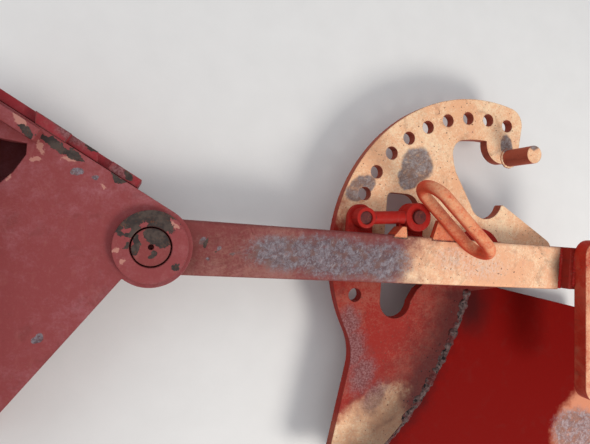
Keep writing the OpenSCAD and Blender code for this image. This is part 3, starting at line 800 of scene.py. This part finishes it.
# %% The nut
def turned(name, x, y, profile, count=96):
    """A solid of revolution about a post at x, y, from its radius and height at each corner."""
    shape = bmesh.new()
    corners = [shape.verts.new(at(x + radius, y, z)) for radius, z in profile]
    for first, second in zip(corners, corners[1:]):
        shape.edges.new((first, second))
    bmesh.ops.spin(shape, geom=shape.verts[:] + shape.edges[:], cent=at(x, y, 0), axis=(0, 0, 1),
                   angle=math.tau, steps=count)
    bmesh.ops.remove_doubles(shape, verts=shape.verts, dist=SAME_CORNER / 2)
    bmesh.ops.recalc_face_normals(shape, faces=shape.faces)
    return made(name, shape)


nut_low, nut_high = span("swivel_nut")
corner = max(nut_high.x - nut_low.x, nut_high.y - nut_low.y) / 2
flat = corner * math.cos(math.radians(30))
slope = 0.55  # how far the cone drops for each millimetre between flat and corner
drop = (corner - flat) * slope
inside, outside = flat * 0.99, corner * 1.01
blank = turned("nut_blank", *PIVOT, [
    (0, nut_low.z), (inside, nut_low.z), (outside, nut_low.z + drop),
    (outside, nut_high.z - drop), (inside, nut_high.z), (0, nut_high.z)])
dress("swivel_nut", "steel", slot="worn_steel", blank=blank)
bpy.data.objects.remove(blank)

# %% [markdown]
# A weld bead is a row of small overlapping scales, one for each time the welder paused. That is a
# shape that repeats along a path, so Geometry Nodes make it: the path is cut into even steps, and a
# flattened ball of a few dozen faces goes on each step, turned with the path and a little uneven.

# %% The weld tree
def path_tree(name, sizes):
    """An empty tree that works along a path, with a named input for each size and the finish."""
    tree = bpy.data.node_groups.new(name, "GeometryNodeTree")
    ask = tree.interface.new_socket
    ask("Path", in_out="INPUT", socket_type="NodeSocketGeometry")
    for key, value in sizes.items():
        kind = "NodeSocketInt" if isinstance(value, int) else "NodeSocketFloat"
        ask(key, in_out="INPUT", socket_type=kind).default_value = value
    ask("Finish", in_out="INPUT", socket_type="NodeSocketMaterial")
    ask("Geometry", in_out="OUTPUT", socket_type="NodeSocketGeometry")
    return tree


def tree_node(tree):
    """A function that adds a node to the tree: its settings first, then its sockets."""

    def node(kind, settings=None, sockets=None):
        added = tree.nodes.new(kind)
        for key, value in (settings or {}).items():
            setattr(added, key, value)
        for key, value in (sockets or {}).items():
            if isinstance(value, bpy.types.NodeSocket):
                tree.links.new(value, added.inputs[key])
            else:
                added.inputs[key].default_value = value
        return added

    return node


def ending(node, instances, finish):
    """Makes the instances real, smooth and painted, and hands them out."""
    plain = node("GeometryNodeRealizeInstances", None, {0: instances})
    soft = node("GeometryNodeSetShadeSmooth", None, {0: plain.outputs[0]})
    coat = node("GeometryNodeSetMaterial", None, {0: soft.outputs[0], "Material": finish})
    node("NodeGroupOutput", None, {0: coat.outputs[0]})


def weld_tree():
    """Geometry Nodes that lay scales of weld along the edges of a mesh."""
    tree = path_tree("weld_scales", {"Step": 0.0024, "Width": 0.005, "Unevenness": 0.16, "Seed": 7})
    node = tree_node(tree)
    ask = node("NodeGroupInput").outputs
    curve = node("GeometryNodeMeshToCurve", None, {"Mesh": ask["Path"]})
    steps = node("GeometryNodeCurveToPoints", {"mode": "LENGTH"},
                 {"Curve": curve.outputs[0], "Length": ask["Step"]})
    ball = node("GeometryNodeMeshUVSphere", None, {"Segments": 8, "Rings": 5, "Radius": 0.5})
    low = node("ShaderNodeMath", {"operation": "SUBTRACT"}, {0: 1.0, 1: ask["Unevenness"]})
    high = node("ShaderNodeMath", {"operation": "ADD"}, {0: 1.0, 1: ask["Unevenness"]})
    size = node("FunctionNodeRandomValue", {"data_type": "FLOAT"},
                {2: low.outputs[0], 3: high.outputs[0], "Seed": ask["Seed"]})
    wide = node("ShaderNodeMath", {"operation": "MULTIPLY"}, {0: size.outputs[1], 1: ask["Width"]})
    shape = node("ShaderNodeVectorMath", {"operation": "SCALE"},
                 {0: (1.0, 1.0, 0.86), "Scale": wide.outputs[0]})
    scales = node("GeometryNodeInstanceOnPoints", None,
                  {"Points": steps.outputs["Points"], "Instance": ball.outputs["Mesh"],
                   "Rotation": steps.outputs["Rotation"], "Scale": shape.outputs[0]})
    ending(node, scales.outputs[0], ask["Finish"])
    return tree


WELDS = weld_tree()
print("weld tree:", len(WELDS.nodes), "nodes")

# %% [markdown]
# The seams are listed as paths along the corners where one piece meets another. Most places come
# from the solids' own boxes, so that a weld stays on its seam, and what a box can't tell is named
# here, in millimetres.

# %% Seams
BAR_SIDE = 31.5  # half of the bar's width
END_SEAM = 27.0  # half the length of the seam across the bar's end
STRAP_SEAM = 23.0  # half the length of the seam along the strap's edge
STRAP_EDGE = 588.5  # where that edge crosses the riser
LUG_RIM = 2.0  # a lug's seam stops this far from its ends
SPACER_RADIUS = 40.0
PEG_FOOT = 12.6  # radius of the corner round the peg


def line(start, end):
    """A straight path."""
    return [Vector(start), Vector(end)]


def arc(x, y, z, radius, start=0, end=360):
    """Part of a circle in the plane of the plates."""
    count = max(6, round(abs(end - start) / 6))
    angles = [math.radians(start + (end - start) * i / count) for i in range(count + 1)]
    return [Vector((x + radius * math.cos(a), y + radius * math.sin(a), z)) for a in angles]


def laid(name, paths, tree, values, finish):
    """An object with a tree that works along the paths, which are in millimetres from the hinge."""
    shape = bmesh.new()
    for path in paths:
        points = [shape.verts.new(at(*point)) for point in path]
        for first, second in zip(points, points[1:]):
            shape.edges.new((first, second))
    piece = made(name, shape)
    maker = piece.modifiers.new("maker", "NODES")
    maker.node_group = tree
    inputs = {s.name: s.identifier for s in tree.interface.items_tree if s.in_out == "INPUT"}
    for key, value in {**values, "Finish": FINISH[finish]}.items():
        maker[inputs[key]] = value
    return piece


def along(name, body, paths, tree, values, finish, slot):
    """The same, made plain mesh and fixed to its body."""
    return settle(laid(name, paths, tree, values, finish), body, slot)


def weld(name, body, paths, width, step, uneven, seed, finish):
    """A painted-over weld along the paths: width and step are in millimetres."""
    values = {"Step": step / 1000, "Width": width / 1000, "Unevenness": uneven, "Seed": seed}
    return along(name, body, paths, WELDS, values, finish, "weld")


riser_low, riser_high = span("end_riser")
arm_seams = [
    line((riser_low.x, -END_SEAM, BAR_TOP), (riser_low.x, END_SEAM, BAR_TOP)),
    line((STRAP_EDGE, -STRAP_SEAM, riser_high.z), (STRAP_EDGE, STRAP_SEAM, riser_high.z)),
]
for lug in ("lock_lug", "keeper_lug"):
    lug_low, lug_high = span(lug)
    arm_seams.append(line((lug_low.x + LUG_RIM, BAR_SIDE, lug_high.z),
                          (lug_high.x - LUG_RIM, BAR_SIDE, lug_high.z)))
weld("arm_welds", "arm", arm_seams, 5.4, 1.7, 0.2, 3, "lock")

under_bar = arc(*PIVOT, -BAR_TOP, SPACER_RADIUS, 150, 390)
weld("spacer_weld", "arm", [under_bar], 5.0, 1.7, 0.2, 5, "lock")

peg_low, peg_high = span("hook_peg")
peg_x, peg_y = (peg_low.x + peg_high.x) / 2, (peg_low.y + peg_high.y) / 2
peg_foot = arc(peg_x, peg_y, PLATE_TOP, PEG_FOOT)
weld("peg_weld", "catcher", [peg_foot], 4.6, 1.5, 0.22, 9, "plate")

# %% [markdown]
# The long weld between the plate and the curved sheet was laid by hand in one hot pass. It is
# thick, lumpy and spattered, which a row of even scales would not show. So the solid's copy and a
# crown of large scales are made one skin of small faces, and a fixed noise pushes each corner in
# or out.

# %% The long burnt weld
def lumpy(node, over, finish, amount):
    """A solid's copy and the scales over it as one skin, roughened by `amount` millimetres."""
    graph = bpy.context.evaluated_depsgraph_get()
    scales = bpy.data.meshes.new_from_object(over.evaluated_get(graph))
    bpy.data.objects.remove(over)
    shape = bmesh.new()
    copied(shape, frame["nodes"][node].data)
    copied(shape, scales)
    bmesh.ops.remove_doubles(shape, verts=shape.verts, dist=SAME_CORNER)
    piece = made(node + "_dressed", shape)
    cells = piece.modifiers.new("small_faces", "REMESH")
    cells.mode = "VOXEL"
    cells.voxel_size = 0.0012
    graph = bpy.context.evaluated_depsgraph_get()
    fine = bpy.data.meshes.new_from_object(piece.evaluated_get(graph))
    piece.modifiers.clear()
    piece.data = fine
    # Lumps of about 7 mm, with smaller ones of 2.6 mm on them
    for vertex, normal in zip(fine.vertices, [v.normal.copy() for v in fine.vertices]):
        where = vertex.co * 1000
        lumps = noise.noise(where / 7.0) * 1.2 + noise.noise(where / 2.6) * 0.6
        vertex.co += normal * (lumps * amount / 1000)
    fine.materials.clear()
    fine.materials.append(FINISH[finish])
    fine.shade_smooth()
    return settle(piece, frame["nodes"][node]["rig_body"], "weld", node)


crown_path = arc(*WELD_CENTRE, PLATE_TOP - 6.0, WELD_RADIUS - 1, -39.5, -13)
crown = laid("weld_crown", [crown_path], WELDS,
             {"Step": 0.0046, "Width": 0.017, "Unevenness": 0.24, "Seed": 21}, "burnt")
lumpy("weld_bead", crown, "burnt", 1.2)

# %% [markdown]
# Such a weld throws drops of metal that freeze where they land. They lie close to the weld, so a
# second tree takes points along it, moves each by a random amount in the plane of the plate, and
# puts a small ball there.

# %% Spatter
def spatter_tree():
    """Geometry Nodes that scatter small balls beside a path."""
    tree = path_tree("weld_spatter", {"Drops": 120, "Spread": 0.02, "Largest": 0.0012, "Seed": 11})
    node = tree_node(tree)
    ask = node("NodeGroupInput").outputs
    curve = node("GeometryNodeMeshToCurve", None, {"Mesh": ask["Path"]})
    drops = node("GeometryNodeCurveToPoints", {"mode": "COUNT"},
                 {"Curve": curve.outputs[0], "Count": ask["Drops"]})
    throw = node("FunctionNodeRandomValue", {"data_type": "FLOAT_VECTOR"},
                 {0: (-1.0, -1.0, 0.0), 1: (1.0, 1.0, 0.0), "Seed": ask["Seed"]})
    far = node("ShaderNodeVectorMath", {"operation": "SCALE"},
               {0: throw.outputs[0], "Scale": ask["Spread"]})
    landed = node("GeometryNodeSetPosition", None,
                  {"Geometry": drops.outputs["Points"], "Offset": far.outputs[0]})
    ball = node("GeometryNodeMeshIcoSphere", None, {"Radius": 1.0, "Subdivisions": 2})
    size = node("FunctionNodeRandomValue", {"data_type": "FLOAT"}, {2: 0.25, 3: 1.0, "Seed": 4})
    grown = node("ShaderNodeMath", {"operation": "MULTIPLY"},
                 {0: size.outputs[1], 1: ask["Largest"]})
    balls = node("GeometryNodeInstanceOnPoints", None,
                 {"Points": landed.outputs[0], "Instance": ball.outputs["Mesh"],
                  "Scale": grown.outputs[0]})
    ending(node, balls.outputs[0], ask["Finish"])
    return tree


run_of_weld = arc(*WELD_CENTRE, PLATE_TOP, WELD_RADIUS - 11, -39, -15)
along(
    "weld_spatter", "catcher", [run_of_weld], spatter_tree(),
    {"Drops": 54, "Spread": 0.011, "Largest": 0.0011, "Seed": 11}, "burnt", "weld")

# %% [markdown]
# The floor only carries the shadow. It is pale and plain, with a faint grain so that it does not
# look like a hole in the picture. Its back is clear, so that the underside can be looked at.

# %% Floor
def floor():
    """A wide pale floor, just under the lowest piece."""
    f = Finish("studio_floor")
    here = f.place()
    tone = f.mix(f.cloud(here, 40, 4), srgb(226, 224, 220), srgb(234, 232, 228))
    f.done(tone, f.cloud(here, 20, 2) * 0.1 + 0.8, 0.0, f.cloud(here, 3, 2), 0.1)
    pale = Wire(f, f.tree.nodes["Principled BSDF"].outputs[0])
    clear = f.node("ShaderNodeBsdfTransparent")
    back = f.node("ShaderNodeNewGeometry", out="Backfacing")
    surface = f.node("ShaderNodeMixShader", None, {0: back, 1: pale, 2: clear})
    f.tree.links.new(surface.socket, f.tree.nodes["Material Output"].inputs["Surface"])
    shape = bmesh.new()
    bmesh.ops.create_grid(shape, x_segments=4, y_segments=4, size=3.0)
    height = cad_box[0][2] - 0.002
    bmesh.ops.translate(shape, verts=shape.verts, vec=(0.45, 0.0, height))
    ground = made("studio_floor", shape)
    ground.data.materials.append(f.material)
    print("floor at", round(height, 4))


floor()
